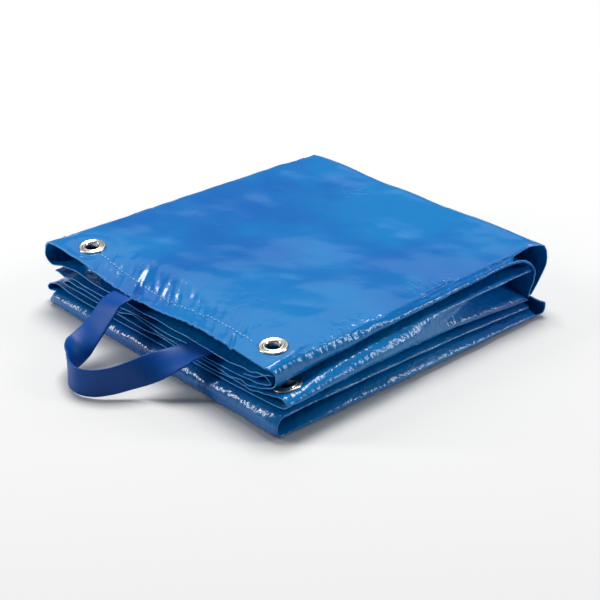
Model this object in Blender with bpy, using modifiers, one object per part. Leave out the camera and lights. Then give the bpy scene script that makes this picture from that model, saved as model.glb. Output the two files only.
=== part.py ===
"""A folded tarp: laminated cloth in its folds, the hem strips, three eyelets and a carry strap.

Metres, +Z up. The pack lies on z = 0 with its origin under the middle of the footprint. +X runs along
the front hem, from the strap's side to the corner with the lower eyelet, and +Y runs from the front
hem to the back. The tables below are in millimetres.
"""

import math
from collections import namedtuple

import bmesh
import bpy
import numpy as np
from mathutils import Vector

MM = 0.001

# Driving sizes, in mm
CLOTH = 1.2  # thickness of one layer of cloth
HEM = 2.0  # thickness of the doubled hem strips
HALF_X = 150.0  # half the pack's nominal width
HALF_Y = 162.0  # half its nominal depth
STRIP_DEPTH = 44.0  # how deep the front hem strip is cut
GAP = 0.6  # clearance round the hem strips
BACK_ROWS = 12  # rows of cloth from front to back

# The top layer: its height at the four corners, and how the front hem droops
TOP = {"front_left": 66.0, "front_right": 62.3, "back_left": 62.5, "back_right": 65.6}
HEM_DROOP = {"ends": 2.2, "middle": 5.5, "middle_x": -38.0, "spread": 62.0}
DROOP_DEPTH = 46.0  # how far behind the hem the droop has gone

# Every layer of the folded section from the inside end to the outside one. way is the direction of
# travel, front and back are where the layer ends in y, and z is its height at the left and right ends.
Layer = namedtuple("Layer", "name way front back z_front z_middle z_back")
LAYERS = {
    row.name: row
    for row in (
        Layer("second", -1, -161.0, 118.0, (44.5, 43.0), (47.0, 58.0), (51.0, 61.6)),
        Layer("top", 1, -165.0, 150.0, None, None, None),
        Layer("fourth", -1, -160.0, 119.0, (30.5, 30.4), (33.0, 50.5), (36.5, 54.6)),
        Layer("fifth", 1, -160.0, 140.0, (24.6, 27.6), (26.0, 46.5), (28.0, 49.0)),
        Layer("sixth", -1, -161.0, 138.5, (18.0, 24.8), (18.0, 24.0), (15.5, 16.9)),
        Layer("seventh", 1, -160.0, 138.0, (13.3, 22.0), (13.0, 20.3), (10.8, 13.4)),
        Layer("eighth", -1, -160.0, 137.0, (10.0, 18.6), (9.6, 16.8), (7.6, 10.4)),
    )
}

# Every fold between two layers, as (x, z) points in the direction of travel, at the front, the middle
# and the back of the pack.
Fold = namedtuple("Fold", "name front middle back")
FOLDS = {
    row.name: row
    for row in (
        Fold(
            "lip",
            ((148.5, 52), (135, 47.8)),
            ((144, 59.6), (130, 58.6)),
            ((142, 61.6), (129, 61.2)),
        ),
        Fold(
            "left_loop",
            ((-140, 43.8), (-154, 41), (-162, 47), (-159.5, 57), (-154, 62.5)),
            ((-140, 46.8), (-153, 43), (-160.5, 49), (-158, 57.5), (-153, 62)),
            ((-136, 52), (-151, 44), (-157, 50), (-155.5, 57), (-152, 60.5)),
        ),
        Fold(
            "right_wrap",
            ((146, 60.6), (151.5, 54.5), (152, 46.5), (148, 40.4), (138, 35)),
            ((146, 63.2), (148.5, 60.5), (153.5, 57), (152, 53), (143, 51.2)),
            ((145.5, 64.6), (147, 62), (151.5, 60.3), (149.5, 57.2), (140, 55.2)),
        ),
        Fold(
            "notch",
            ((-137, 30.4), (-143, 27.6), (-137, 24.8)),
            ((-140, 33), (-146, 29.6), (-140, 26.2)),
            ((-139, 36.3), (-146, 32.2), (-139, 28.2)),
        ),
        Fold(
            "right_curl",
            ((128, 28.8), (129.2, 29), (160, 35), (161, 34.9), (166.8, 31), (161, 26.8), (140, 25.2)),
            ((128, 46.6), (129.2, 46.7), (157, 45.8), (158, 45), (161.5, 38), (158.5, 28), (140, 24.6)),
            ((128, 49), (129.2, 49), (156.5, 48), (157.5, 47), (108, 33), (157, 18.2), (140, 17.2)),
        ),
        Fold(
            "left_closure",
            ((-136, 20.4), (-150, 21.6), (-159.5, 18.4), (-166.2, 13.8), (-165.2, 11), (-152, 12.6)),
            ((-134, 20), (-148, 20.6), (-156, 18), (-161, 13.8), (-160, 11), (-148, 12)),
            ((-134, 17.2), (-146, 17.4), (-153, 15), (-157.5, 11.8), (-156.5, 9.2), (-146, 9.8)),
        ),
        Fold(
            "spine",
            ((157, 23), (162.6, 20.9), (157, 18.8)),
            ((155, 20.6), (161, 18.7), (155, 16.8)),
            ((153, 13.6), (159, 12), (153, 10.4)),
        ),
        Fold("tail", ((-150, 9.8),), ((-148, 9.2),), ((-146, 7.2),)),
    )
}
BOOK = (
    "lip", "second", "left_loop", "top", "right_wrap", "fourth", "notch", "fifth",
    "right_curl", "sixth", "left_closure", "seventh", "spine", "eighth", "tail",
)
LAYER_X = (-110.0, -55.0, 0.0, 55.0, 110.0)  # where a layer's points lie
TOP_X = (-148.6, -147.4, -110.0, -55.0, 0.0, 55.0, 110.0, 141.8, 143.0)  # the top layer's points
TOP_CUT = (-147.4, 141.8)  # between these the top layer starts behind the front hem strip
LOWER_CUT = (129.2, 160.0)  # the same for the fifth layer and the lower hem strip
CUT_POINTS = 3  # the lower cut falls on the first points of its fold
LOWER_CUT_Y = -123.6  # where the fifth layer starts behind the lower hem strip
LOWER_TAPER = 2.2  # how much narrower the lower hem strip is at its back
FOLD_STEPS = 2  # sheet cells between two points of a fold
REACH = 1.2  # how far a bend is felt along a longer stretch, against the shorter one

# The third layer, folded under the second one at the back, with a hooked end at the right
THIRD_LEFT = Fold(
    "third_left",
    ((-154, 33.4), (-140, 33.2)),
    ((-152, 36.6), (-138, 36.2)),
    ((-148, 41), (-136, 40.6)),
)
THIRD = Layer("third", 1, -159.0, 116.0, (33.8, 33.8), (36.6, 53.8), (40.6, 57.4))
THIRD_RIGHT = Fold(
    "third_right",
    ((138, 38), (144.6, 41.8), (139, 44.8), (127, 42), (111, 37.4)),
    ((133, 52.3), (137.4, 53.9), (133, 55.5), (124, 55.4), (116, 55)),
    ((126, 56.9), (130, 58.2), (126, 59.4), (120, 59.3), (114, 59.1)),
)

# The bottom pass: the seventh and eighth layers, wrapped round the front edge and run back below
PASS_OUTER = Layer("bottom_outer", 1, -161.0, 142.0, (0.6, 0.6), (0.6, 0.6), (0.6, 0.6))
PASS_SPINE = Fold(
    "bottom_spine",
    ((156, 0.9), (161.6, 2.6), (156, 4.3)),
    ((158, 0.6), (166, 6), (159, 12.4)),
    ((157, 0.6), (164.4, 4.2), (157, 7.6)),
)
PASS_INNER = Layer("bottom_inner", -1, -160.0, 140.0, (3.8, 4.2), (5.0, 11.8), (4.2, 7.2))
PASS_START = Fold("bottom_start", ((-157, 0.6),), ((-157, 0.6),), ((-154, 0.6),))
PASS_END = Fold("bottom_end", ((-151, 3.8),), ((-150, 5.0),), ((-148, 4.2),))
WRAP_FULLNESS = 1.65  # how far the front wrap swells, against its height
WRAP_ROWS = 6

# Flaps that turn down over the back, as (y, z) points past the layer's own end. flare is
# how far a flap's right edge spreads.
FLAP_TOP = {
    "left": ((157, 62), (161, 44), (157, 36), (150, 28), (145, 21)),
    "right": ((158.5, 65.8), (163, 46), (158, 37), (150.5, 28), (144.5, 20.5)),
    "flare": 12.0,
}
FLAP_FOURTH = {
    "left": ((130, 36.6), (139, 36), (143.5, 33), (143, 28), (141.5, 23), (140.5, 19)),
    "right": ((130, 58), (142.5, 50.5), (148.5, 42), (147.5, 34), (143, 25), (141, 19)),
    "flare": 3.0,
}
FLAP_BOTTOM = {
    "left": ((146, 0.8), (151, 3), (153, 8), (152, 11), (149, 13.5), (146, 15)),
    "right": ((146, 0.8), (152, 2.6), (154.6, 8), (154.5, 11.5), (150, 15.5), (146.5, 18)),
    "flare": 0.0,
}
WRAP_SHARE = (0.05, 0.75, 0.97, 1.0, 1.0)  # how far back the right wrap's points lie, between its layers

# Eyelets: radius of the hole, of the flanges and of the hole cut in the cloth, and their heights
EYELET_HOLE = 6.0
EYELET_RIM = 12.5
EYELET_BARREL = 6.8
EYELET_CUT = 7.2
EYELET_PROFILE = (
    (9.4, 3.0), (11.4, 2.6), (12.5, 1.8), (12.2, 1.35), (EYELET_BARREL, 1.35), (EYELET_BARREL, -1.35),
    (10.6, -1.35), (10.6, -2.2), (EYELET_HOLE, -2.2), (EYELET_HOLE, 2.0), (7.2, 2.8),
)
EYELET_TURNS = 24
EYELET_FLAT = (14.0, 24.0)  # the cloth is flat within the first radius and free past the second
TOP_EYELETS = {"eyelet_left": (-117.0, -142.0), "eyelet_right": (127.5, -141.0)}
LOWER_EYELET = (146.0, -142.0)
LOWER_PLANE = {"z": 34.3, "slope_x": 0.165, "slope_y": 0.13}

# Carry strap: its width and thickness, and its middle line from the left end to the right one. lean is
# the angle of its cross-section: 0 flat, 90 on edge, 180 flat with the other face up.
STRAP_WIDTH = 25.0
STRAP_THICK = 1.8
Route = namedtuple("Route", "x y z lean")
STRAP_ROUTE = (
    Route(-39, -118, 55.4, 0),
    Route(-39, -142, 55.0, 0),
    Route(-40, -163, 53.6, 0),
    Route(-42, -176, 49.5, 0),
    Route(-42, -186, 41.0, 1),
    Route(-41.5, -196, 32.5, 5),
    Route(-40.5, -208, 25.0, 19),
    Route(-37.5, -220, 19.5, 54),
    Route(-31, -231, 16.0, 84),
    Route(-20, -239, 14.2, 92),
    Route(-5, -242, 13.6, 92),
    Route(9, -236, 14.2, 92),
    Route(20, -225, 16.8, 92),
    Route(29, -211, 20.8, 98),
    Route(37, -198, 25.4, 118),
    Route(45, -185, 30.4, 146),
    Route(53, -172, 36.0, 166),
    Route(60, -160, 40.2, 180),
    Route(61, -140, 41.2, 180),
    Route(62, -120, 43.4, 180),
)
STRAP_STEPS = 2

MATERIALS = {
    # name: colour, roughness, metallic
    "tarp": ((0.02, 0.14, 0.55), 0.3, 0.0),
    "hem_strip": ((0.03, 0.17, 0.6), 0.3, 0.0),
    "lower_hem_strip": ((0.02, 0.12, 0.5), 0.3, 0.0),
    "eyelet": ((0.78, 0.77, 0.74), 0.25, 1.0),
    "carry_strap": ((0.015, 0.08, 0.4), 0.45, 0.0),
}


# ---------------------------------------------------------------- scene and materials


def clear_scene():
    for thing in list(bpy.data.objects):
        bpy.data.objects.remove(thing, do_unlink=True)


def new_collection(name, hidden=False):
    group = bpy.data.collections.new(name)
    bpy.context.scene.collection.children.link(group)
    group.hide_render = hidden
    return group


def make_material(name):
    colour, roughness, metallic = MATERIALS[name]
    material = bpy.data.materials.new(name)
    material.use_nodes = True
    shader = material.node_tree.nodes["Principled BSDF"]
    shader.inputs["Base Color"].default_value = (*colour, 1.0)
    shader.inputs["Roughness"].default_value = roughness
    shader.inputs["Metallic"].default_value = metallic
    material.diffuse_color = (*colour, 1.0)
    return material


# ---------------------------------------------------------------- curves and heights


def smoothstep(low, high, value):
    """0 below low, 1 above high, and an S-curve between them."""
    t = np.clip((value - low) / (high - low), 0.0, 1.0)
    return t * t * (3.0 - 2.0 * t)


def between_stations(front, middle, back, v):
    """A monotone cubic through a value at v = 0, 0.5 and 1: it never swings past its stations."""
    first = (middle - front) / 0.5
    second = (back - middle) / 0.5
    if first * second > 0.0:
        slope_middle = 2.0 * first * second / (first + second)
    else:
        slope_middle = 0.0
    slope_front = 1.5 * first - 0.5 * slope_middle
    slope_back = 1.5 * second - 0.5 * slope_middle
    near = hermite(front, middle, 0.5 * slope_front, 0.5 * slope_middle, np.clip(v / 0.5, 0, 1))
    far = hermite(middle, back, 0.5 * slope_middle, 0.5 * slope_back, np.clip(v / 0.5 - 1, 0, 1))
    return np.where(v < 0.5, near, far)


def hermite(start, end, start_slope, end_slope, t):
    """The cubic that leaves start and reaches end with the two slopes."""
    t2 = t * t
    t3 = t2 * t
    return (
        (2 * t3 - 3 * t2 + 1) * start
        + (t3 - 2 * t2 + t) * start_slope
        + (3 * t2 - 2 * t3) * end
        + (t3 - t2) * end_slope
    )


def smooth_path(points, steps):
    """Smooth curves through points, shape (points, rows, 3), with steps cells in each stretch.

    Each stretch is a cubic whose slope at a point is the mean of its two chords, weighted by the
    length of the other one. A long stretch beside a short one takes up that slope only near its end.
    """
    chords = np.diff(points, axis=0)
    lengths = np.linalg.norm(chords, axis=2, keepdims=True)
    rates = chords / lengths
    slopes = np.empty_like(points)
    weights = lengths[:-1] + lengths[1:]
    slopes[1:-1] = (rates[:-1] * lengths[1:] + rates[1:] * lengths[:-1]) / weights
    slopes[0] = 1.5 * rates[0] - 0.5 * slopes[1]
    slopes[-1] = 1.5 * rates[-1] - 0.5 * slopes[-2]
    out = [points[:1]]
    for i, count in enumerate(steps):
        before = np.minimum(lengths[i], REACH * lengths[max(i - 1, 0)])
        after = np.minimum(lengths[i], REACH * lengths[min(i + 1, len(lengths) - 1)])
        t = (np.arange(1, count + 1) / count)[:, None, None]
        out.append(hermite(points[i], points[i + 1], slopes[i] * before, slopes[i + 1] * after, t))
    return np.concatenate(out)


def free_top_height(x, y):
    """The top layer: a skew plane between its corners, less the droop of the front hem."""
    across = (x + HALF_X) / (2 * HALF_X)
    along = (y + HALF_Y) / (2 * HALF_Y)
    front = TOP["front_left"] + (TOP["front_right"] - TOP["front_left"]) * across
    back = TOP["back_left"] + (TOP["back_right"] - TOP["back_left"]) * across
    middle = np.exp(-(((x - HEM_DROOP["middle_x"]) / HEM_DROOP["spread"]) ** 2))
    droop = HEM_DROOP["ends"] + HEM_DROOP["middle"] * middle
    near_hem = 1.0 - smoothstep(-HALF_Y, -HALF_Y + DROOP_DEPTH, y)
    return front + (back - front) * along - droop * near_hem


def eyelet_plane(centre):
    """Height and slopes of the plane that the cloth lies in round an eyelet of the top layer."""
    x, y = centre
    reach = 8.0
    height = float(free_top_height(x, y))
    slope_x = float(free_top_height(x + reach, y) - free_top_height(x - reach, y)) / (2 * reach)
    slope_y = float(free_top_height(x, y + reach) - free_top_height(x, y - reach)) / (2 * reach)
    return height, slope_x, slope_y


def top_height(x, y):
    """The top layer's height, pressed flat round its eyelets."""
    z = free_top_height(x, y)
    for centre in TOP_EYELETS.values():
        height, slope_x, slope_y = eyelet_plane(centre)
        plane = height + slope_x * (x - centre[0]) + slope_y * (y - centre[1])
        flat = 1.0 - smoothstep(*EYELET_FLAT, np.hypot(x - centre[0], y - centre[1]))
        z = z + (plane - z) * flat
    return z


# ---------------------------------------------------------------- the folded section


def rows_from(cut, front, back, v):
    """The rows of a point whose cloth starts at y = cut instead of at the layer's front."""
    share = (cut - front) / (back - front)
    return share + (1.0 - share) * v


def fold_points(fold, front, back, v):
    """A fold's points for every row v: shape (points, rows, 3)."""
    points = np.empty((len(fold.front), len(v), 3))
    for i, (near, mid, far) in enumerate(zip(fold.front, fold.middle, fold.back)):
        share = WRAP_SHARE[i] if fold.name == "right_wrap" else (i + 1) / (len(fold.front) + 1)
        first = front[0] + (front[1] - front[0]) * share
        last = back[0] + (back[1] - back[0]) * share
        rows = v
        if fold.name == "right_curl" and LOWER_CUT[0] <= near[0] <= LOWER_CUT[1] and i < CUT_POINTS:
            rows = rows_from(LOWER_CUT_Y, first, last, v)
        points[i, :, 0] = between_stations(near[0], mid[0], far[0], rows)
        points[i, :, 1] = first + (last - first) * rows
        points[i, :, 2] = between_stations(near[1], mid[1], far[1], rows)
    return points


def layer_points(layer, v):
    """A layer's points for every row v: straight from its left height to its right one."""
    places = TOP_X if layer.name == "top" else LAYER_X
    points = np.empty((len(places), len(v), 3))
    for i, x in enumerate(places[:: layer.way]):
        rows = v
        if layer.name == "top" and TOP_CUT[0] <= x <= TOP_CUT[1]:
            rows = rows_from(layer.front + STRIP_DEPTH, layer.front, layer.back, v)
        y = layer.front + (layer.back - layer.front) * rows
        if layer.name == "top":
            z = top_height(x, y)
        else:
            across = (x + HALF_X) / (2 * HALF_X)
            near, mid, far = (
                left + (right - left) * across
                for left, right in (layer.z_front, layer.z_middle, layer.z_back)
            )
            z = between_stations(near, mid, far, rows)
        points[i, :, 0] = x
        points[i, :, 1] = y
        points[i, :, 2] = z
    return points


def section(pieces, v):
    """Carry folds and layers in turn along Y. Returns the sheet's grid, shape (columns, rows, 3), and
    the column at which each piece starts and ends."""
    blocks = []
    for i, piece in enumerate(pieces):
        if isinstance(piece, Layer):
            blocks.append(layer_points(piece, v))
            continue
        before = pieces[i - 1] if i > 0 else pieces[i + 1]
        after = pieces[i + 1] if i + 1 < len(pieces) else pieces[i - 1]
        blocks.append(fold_points(piece, (before.front, after.front), (before.back, after.back), v))
    steps = []
    spans = {}
    column = 0
    for i, (piece, block) in enumerate(zip(pieces, blocks)):
        inside = [FOLD_STEPS if isinstance(piece, Fold) else 1] * (len(block) - 1)
        if piece.name == "right_curl":
            inside[0] = inside[2] = 1
        spans[piece.name] = (column, column + sum(inside))
        steps += inside
        column += sum(inside)
        if i + 1 < len(pieces):
            joint = 1 if isinstance(pieces[i + 1], Layer) and isinstance(piece, Layer) else FOLD_STEPS
            steps.append(joint)
            column += joint
    return smooth_path(np.concatenate(blocks), steps), spans


def flap(edge, columns, route):
    """Rows that carry an edge down over the back: the left and right (y, z) routes are mixed by x, and
    columns near the right end spread outwards."""
    start = edge[:, -1]
    before = edge[:, -2]
    across = np.clip((start[:, 0] + HALF_X) / (2 * HALF_X), 0.0, 1.0)
    spread = route["flare"] * np.clip((start[:, 0] - 110.0) / 40.0, 0.0, 1.0) ** 2
    lows, highs = route["left"][0][1], route["right"][0][1]
    rise = np.maximum(start[:, 2] - (lows + (highs - lows) * across), 0.0)
    points = [before, start]
    for i, ((left_y, left_z), (right_y, right_z)) in enumerate(zip(route["left"], route["right"])):
        step = start.copy()
        step[:, 0] += spread
        step[:, 1] = left_y + (right_y - left_y) * across
        step[:, 2] = left_z + (right_z - left_z) * across + rise * (1.0 - i / len(route["left"]))
        points.append(step)
    rows = smooth_path(np.array(points), [1] * (len(points) - 1))[1:]
    return np.swapaxes(rows, 0, 1)[columns]


def join_edges(first, second, side, fullness, rows):
    """Rows that join two edges of equal length round a fold on the given side (-1 front, 1 back)."""
    swell = fullness * np.abs(first[:, 2:] - second[:, 2:]) * np.array([[0.0, side, 0.0]])
    t = np.linspace(0.0, 1.0, rows + 1)[None, :, None]
    return hermite(first[:, None], second[:, None], swell[:, None], -swell[:, None], t)


def sheet_grids():
    """Every grid of the tarp's one sheet, none below the ground. Grids that meet share their edge's
    points."""
    v = np.linspace(0.0, 1.0, BACK_ROWS)
    book = [LAYERS.get(name) or FOLDS.get(name) for name in BOOK]
    main, spans = section(book, v)
    grids = [main]
    third, third_spans = section([THIRD_LEFT, THIRD, THIRD_RIGHT], v)
    grids.append(third)
    second = slice(spans["second"][0], spans["second"][1] + 1)
    under = slice(third_spans["third"][0], third_spans["third"][1] + 1)
    grids.append(join_edges(main[second, -1], third[under, -1][::-1], 1, 1.2, 4))
    low = spans["left_closure"][1]
    outer = main[low:]
    bottom, bottom_spans = section([PASS_START, PASS_OUTER, PASS_SPINE, PASS_INNER, PASS_END], v)
    grids.append(bottom)
    grids.append(join_edges(outer[:, 0], bottom[:, 0], -1, WRAP_FULLNESS, WRAP_ROWS))
    top = slice(spans["top"][0], spans["right_wrap"][0] + 1)
    grids.append(flap(main, top, FLAP_TOP))
    fourth = slice(spans["right_wrap"][0] + 2 * FOLD_STEPS, spans["fourth"][1] + 1)
    grids.append(flap(main, fourth, FLAP_FOURTH))
    flat = slice(0, bottom_spans["bottom_spine"][0] + FOLD_STEPS + 1)
    grids.append(flap(bottom, flat, FLAP_BOTTOM))
    for grid in grids:
        grid[..., 2] = np.maximum(grid[..., 2], CLOTH / 2)
    return grids


# ---------------------------------------------------------------- meshes


def mesh_object(name, mesh_data, material, group):
    thing = bpy.data.objects.new(name, mesh_data)
    thing.data.materials.append(make_material(material))
    group.objects.link(thing)
    return thing


def mesh_from_grids(name, grids):
    """One open mesh from grids of points in mm, welded where their edges meet."""
    shell = bmesh.new()
    for grid in grids:
        columns, rows, _ = grid.shape
        corners = [[shell.verts.new(point * MM) for point in column] for column in grid]
        for i in range(columns - 1):
            for j in range(rows - 1):
                shell.faces.new(
                    (corners[i][j], corners[i + 1][j], corners[i + 1][j + 1], corners[i][j + 1])
                )
    bmesh.ops.remove_doubles(shell, verts=shell.verts, dist=0.00001)
    bmesh.ops.recalc_face_normals(shell, faces=shell.faces)
    mesh = bpy.data.meshes.new(name)
    shell.to_mesh(mesh)
    shell.free()
    return mesh


def thicken(thing, thickness):
    shell = thing.modifiers.new("thickness", "SOLIDIFY")
    shell.thickness = thickness * MM
    shell.offset = 0.0
    shell.use_quality_normals = True


def cutter_cylinder(name, centre, turn, cutters):
    """A cylinder that cuts one eyelet's hole."""
    shape = bmesh.new()
    bmesh.ops.create_cone(
        shape,
        cap_ends=True,
        segments=EYELET_TURNS,
        radius1=EYELET_CUT * MM,
        radius2=EYELET_CUT * MM,
        depth=12.0 * MM,
    )
    mesh = bpy.data.meshes.new(name)
    shape.to_mesh(mesh)
    shape.free()
    thing = bpy.data.objects.new(name, mesh)
    thing.location = Vector(centre) * MM
    thing.rotation_euler = turn
    thing.hide_render = True
    thing.display_type = "WIRE"
    cutters.objects.link(thing)
    return thing


def plane_turn(slope_x, slope_y):
    """The rotation that lays +Z on the normal of a plane with these slopes."""
    normal = Vector((-slope_x, -slope_y, 1.0)).normalized()
    return Vector((0, 0, 1)).rotation_difference(normal).to_euler()


def cut_hole(thing, cutter):
    cut = thing.modifiers.new("eyelet_hole", "BOOLEAN")
    cut.object = cutter
    cut.operation = "DIFFERENCE"
    cut.solver = "EXACT"


def make_tarp(group):
    mesh = mesh_from_grids("tarp", sheet_grids())
    thing = mesh_object("tarp", mesh, "tarp", group)
    thicken(thing, CLOTH)
    return thing


def make_hem_strip(group, cutters):
    """The front strip of the top layer, a grid on its height, with a hole for each eyelet."""
    front = LAYERS["top"].front
    x = np.linspace(TOP_CUT[0] + GAP, TOP_CUT[1] - GAP, 23)
    y = np.linspace(front, front + STRIP_DEPTH - GAP, 7)
    grid = np.empty((len(x), len(y), 3))
    grid[..., 0] = x[:, None]
    grid[..., 1] = y[None, :]
    grid[..., 2] = top_height(grid[..., 0], grid[..., 1])
    thing = mesh_object("hem_strip", mesh_from_grids("hem_strip", [grid]), "hem_strip", group)
    thicken(thing, HEM)
    for name, (x_eye, y_eye) in TOP_EYELETS.items():
        height, slope_x, slope_y = eyelet_plane((x_eye, y_eye))
        turn = plane_turn(slope_x, slope_y)
        cut_hole(thing, cutter_cylinder("cut_" + name, (x_eye, y_eye, height), turn, cutters))
    return thing


def make_lower_hem_strip(group, cutters):
    """The hem corner of the fifth layer: a flat, tilted plate with one hole."""
    u = np.linspace(0.0, 1.0, 5)
    width = LOWER_CUT[1] - LOWER_CUT[0] - 2 * GAP - LOWER_TAPER * u
    grid = np.empty((len(u), len(u), 3))
    grid[..., 0] = LOWER_CUT[0] + GAP + width[None, :] * u[:, None]
    grid[..., 1] = LAYERS["fifth"].front + (LOWER_CUT_Y - GAP - LAYERS["fifth"].front) * u[None, :]
    grid[..., 2] = (
        LOWER_PLANE["z"]
        + LOWER_PLANE["slope_x"] * (grid[..., 0] - LOWER_EYELET[0])
        + LOWER_PLANE["slope_y"] * (grid[..., 1] - LOWER_EYELET[1])
    )
    mesh = mesh_from_grids("lower_hem_strip", [grid])
    thing = mesh_object("lower_hem_strip", mesh, "lower_hem_strip", group)
    thicken(thing, HEM)
    turn = plane_turn(LOWER_PLANE["slope_x"], LOWER_PLANE["slope_y"])
    place = (*LOWER_EYELET, LOWER_PLANE["z"])
    cut_hole(thing, cutter_cylinder("cut_eyelet_lower", place, turn, cutters))
    return thing


def make_eyelet(name, place, turn, group):
    """A pressed eyelet: the profile of its two flanges and barrel, turned about its own axis."""
    profile = bmesh.new()
    points = [profile.verts.new((r * MM, 0.0, z * MM)) for r, z in EYELET_PROFILE]
    for i, point in enumerate(points):
        profile.edges.new((point, points[(i + 1) % len(points)]))
    mesh = bpy.data.meshes.new(name)
    profile.to_mesh(mesh)
    profile.free()
    thing = mesh_object(name, mesh, "eyelet", group)
    thing.location = Vector(place) * MM
    thing.rotation_euler = turn
    screw = thing.modifiers.new("turned", "SCREW")
    screw.axis = "Z"
    screw.angle = math.tau
    screw.steps = EYELET_TURNS
    screw.render_steps = EYELET_TURNS
    screw.use_merge_vertices = True
    screw.merge_threshold = 0.00001
    screw.use_smooth_shade = True
    return thing


def make_carry_strap(group):
    """A flat band carried along its route, turned about its middle line by the lean."""
    route = np.array(STRAP_ROUTE, dtype=float)[:, None, :]
    steps = [STRAP_STEPS] * (len(STRAP_ROUTE) - 1)
    line = smooth_path(route, steps)[:, 0]
    middle = line[:, :3]
    lean = np.radians(line[:, 3:])
    travel = np.gradient(middle, axis=0)
    travel /= np.linalg.norm(travel, axis=1, keepdims=True)
    side = np.cross(travel, (0.0, 0.0, 1.0))
    side /= np.linalg.norm(side, axis=1, keepdims=True)
    up = np.cross(side, travel)
    across = side * np.cos(lean) + up * np.sin(lean)
    offsets = np.array([-0.5, 0.0, 0.5]) * STRAP_WIDTH
    grid = middle[:, None, :] + across[:, None, :] * offsets[None, :, None]
    mesh = mesh_from_grids("carry_strap", [grid])
    thing = mesh_object("carry_strap", mesh, "carry_strap", group)
    thicken(thing, STRAP_THICK)
    return thing


def main():
    clear_scene()
    group = new_collection("folded_tarp")
    cutters = new_collection("cutters", hidden=True)
    make_tarp(group)
    make_hem_strip(group, cutters)
    make_lower_hem_strip(group, cutters)
    for name, (x, y) in TOP_EYELETS.items():
        height, slope_x, slope_y = eyelet_plane((x, y))
        make_eyelet(name, (x, y, height), plane_turn(slope_x, slope_y), group)
    lower_turn = plane_turn(LOWER_PLANE["slope_x"], LOWER_PLANE["slope_y"])
    make_eyelet("eyelet_lower", (*LOWER_EYELET, LOWER_PLANE["z"]), lower_turn, group)
    make_carry_strap(group)


main()
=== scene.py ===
"""The looks of the folded tarp: glossy laminated cloth in its folds, its stitched hem, three pressed
eyelets and a flat carry strap, on a pale studio floor.

The tables are in millimetres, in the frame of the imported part: +X along the front hem, +Y from the front
to the back, +Z up. Meshes are written in metres.
"""

from collections import namedtuple

import bmesh
import bpy
import numpy as np
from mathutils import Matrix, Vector


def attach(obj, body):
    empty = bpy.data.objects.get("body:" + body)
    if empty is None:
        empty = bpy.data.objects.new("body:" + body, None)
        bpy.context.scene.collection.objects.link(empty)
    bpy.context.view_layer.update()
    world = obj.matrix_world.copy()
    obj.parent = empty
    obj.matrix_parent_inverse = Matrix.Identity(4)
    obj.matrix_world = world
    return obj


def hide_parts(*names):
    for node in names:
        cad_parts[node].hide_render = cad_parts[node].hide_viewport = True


MM = 0.001

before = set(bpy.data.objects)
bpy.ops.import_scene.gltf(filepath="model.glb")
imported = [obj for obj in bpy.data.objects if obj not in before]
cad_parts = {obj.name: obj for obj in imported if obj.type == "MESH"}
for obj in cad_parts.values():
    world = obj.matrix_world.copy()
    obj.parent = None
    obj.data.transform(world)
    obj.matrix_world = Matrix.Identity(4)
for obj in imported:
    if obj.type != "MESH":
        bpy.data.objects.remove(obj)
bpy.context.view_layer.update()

# ---------------------------------------------------------------- the cloth's sizes

CLOTH = 1.0  # thickness of the cloth
HEM = 1.9  # thickness of the doubled hem at the edges
HALF_X = 150.0
HALF_Y = 162.0
GROUND = 0.6  # height of the bottom layer's middle

TOP = {"front_left": 66.0, "front_right": 62.3, "back_left": 62.5, "back_right": 65.6}
HEM_DROOP = {"ends": 2.2, "middle": 5.5, "middle_x": -38.0, "spread": 62.0}
DROOP_DEPTH = 46.0
SHOULDER = {"drop": 3.4, "inner": 108.0, "outer": 150.0, "fade": (20.0, 150.0)}  # along the right crease

# Each layer from the inside end of the cloth to the outside one. way is the direction of travel, front
# and back are where the layer ends in y, and each z_ holds its heights at the left and right ends.
Layer = namedtuple("Layer", "name way front back z_front z_middle z_back")
LAYERS = {
    row.name: row
    for row in (
        Layer("second", -1, -161.0, 118.0, (44.5, 43.0), (47.0, 58.0), (51.0, 61.6)),
        Layer("top", 1, -165.0, 150.0, None, None, None),
        Layer("fourth", -1, -160.0, 119.0, (30.5, 30.4), (33.0, 50.5), (36.5, 54.6)),
        Layer("fifth", 1, -160.0, 140.0, (24.6, 27.6), (26.0, 46.5), (28.0, 49.0)),
        Layer("sixth", -1, -161.0, 138.5, (18.0, 24.8), (18.0, 24.0), (15.5, 16.9)),
        Layer("seventh", 1, -160.0, 138.0, (13.3, 22.0), (13.0, 20.3), (10.8, 13.4)),
        Layer("eighth", -1, -160.0, 137.0, (10.0, 18.6), (9.6, 16.8), (7.6, 10.4)),
    )
}

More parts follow.
